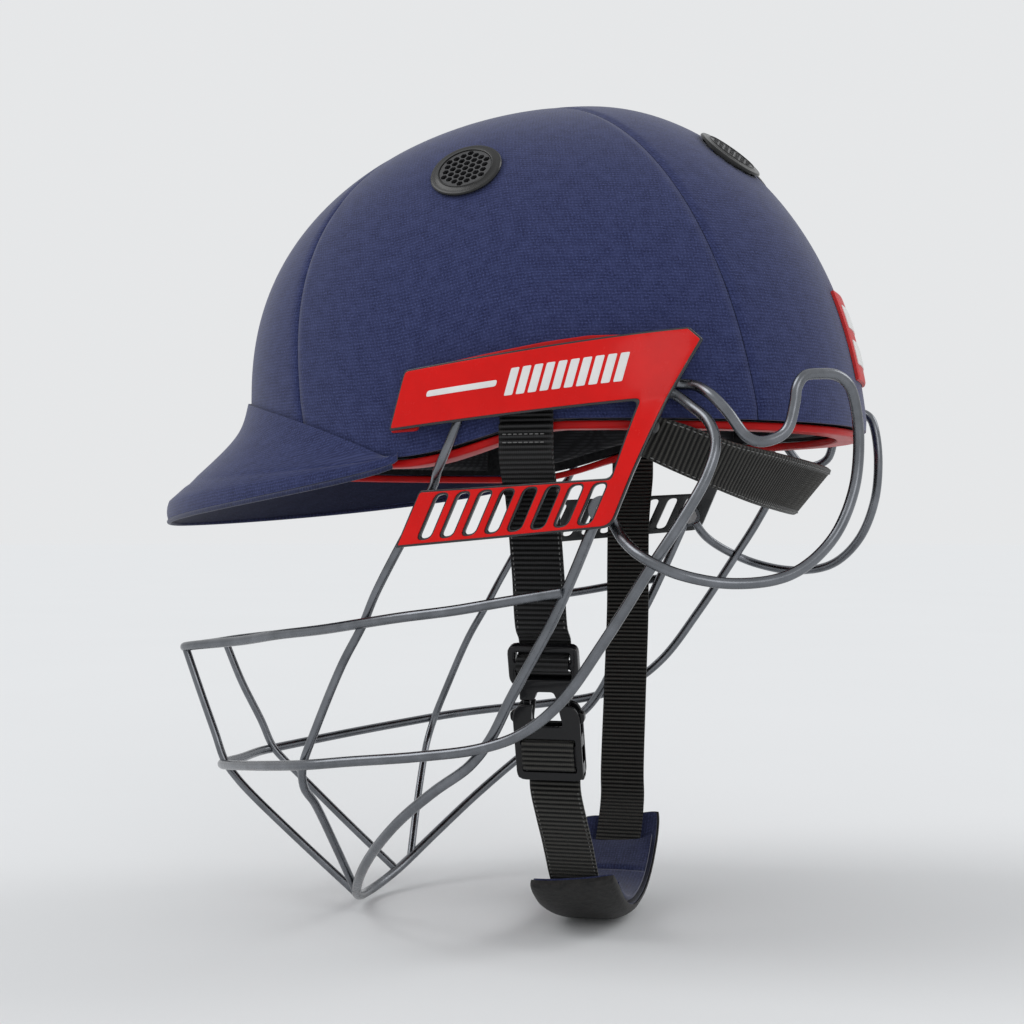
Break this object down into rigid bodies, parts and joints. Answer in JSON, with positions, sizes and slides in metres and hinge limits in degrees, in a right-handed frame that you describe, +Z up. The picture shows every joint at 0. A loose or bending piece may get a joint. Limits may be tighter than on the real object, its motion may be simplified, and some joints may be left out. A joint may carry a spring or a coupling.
{
  "type": "sport helmet with face guard",
  "caption": "Cloth-covered batting helmet with a padded shell and peak, red side plates, a wire face guard, rear wire rings, a nape band and a buckled chin strap with a chin cup",
  "frame": {"origin": "centre of the head opening at rim level, on the middle plane", "axes": "+X to the wearer's left, +Y to the rear of the head, +Z up"},
  "size_m": [0.242, 0.3104, 0.3397],
  "materials": {
    "navy_fabric": "woven cloth, matte",
    "navy_lining": "woven cloth, dark",
    "cup_lining": "padded cloth",
    "shell_plastic": "moulded, matte",
    "red_trim": "smooth, satin",
    "foam": "closed-cell foam",
    "pad_fabric": "padded knit",
    "vent_plastic": "satin",
    "red_plastic": "glossy",
    "grey_plastic": "satin",
    "guard_steel": "satin coated",
    "screw_steel": "satin",
    "webbing": "ribbed webbing",
    "nape_webbing": "ribbed webbing",
    "buckle_plastic": "satin",
    "cup_leather": "grained"
  },
  "bodies": {
    "helmet": {"cover_front": "navy_fabric", "cover_left": "navy_fabric", "cover_right": "navy_fabric", "cover_rear": "navy_fabric", "peak_cover": "navy_fabric", "peak_lining": "navy_lining", "peak_piping": "navy_lining", "hard_shell": "shell_plastic", "peak_core": "shell_plastic", "rim_trim": "red_trim", "rear_label": "red_trim", "foam_liner": "foam", "brow_pad": "pad_fabric", "crown_pad": "pad_fabric", "side_pads": "pad_fabric", "nape_pad": "pad_fabric", "vent_flanges": "vent_plastic", "vent_meshes": "vent_plastic", "bracket_left": "red_plastic", "bracket_right": "red_plastic", "plate_face_left": "red_plastic", "plate_face_right": "red_plastic", "plate_frame_left": "grey_plastic", "plate_frame_right": "grey_plastic", "guard_top_bar": "guard_steel", "guard_lower_bar": "guard_steel", "guard_chin_loop": "guard_steel", "front_wire_left": "guard_steel", "front_wire_right": "guard_steel", "side_wire_left": "guard_steel", "side_wire_right": "guard_steel", "rear_ring_left": "guard_steel", "rear_ring_right": "guard_steel", "guard_eyelets": "guard_steel", "guard_screws": "screw_steel", "strap_rivets": "screw_steel", "nape_band": "nape_webbing"},
    "strap": {"strap_upper": "webbing", "buckle_male": "buckle_plastic", "buckle_female": "buckle_plastic", "strap_chin": "webbing", "chin_cup": "cup_leather", "chin_pad": "cup_lining"},
    "front_prong": {"prong_front": "buckle_plastic"},
    "rear_prong": {"prong_rear": "buckle_plastic"}
  },
  "joints": [
    {"name": "strap_swing", "type": "hinge", "parent": "helmet", "child": "strap", "pos_m": [0, 0.0155, 0.004], "axis": [1, 0, 0], "range_deg": [-15, 30]},
    {"name": "prong_front_press", "type": "slide", "parent": "strap", "child": "front_prong", "axis": [0, 1, 0], "range_m": [0, 0.0018], "stiffness_N_per_m": 2000},
    {"name": "prong_rear_press", "type": "slide", "parent": "strap", "child": "rear_prong", "axis": [0, -1, 0], "range_m": [0, 0.0018], "stiffness_N_per_m": 2000}
  ]
}
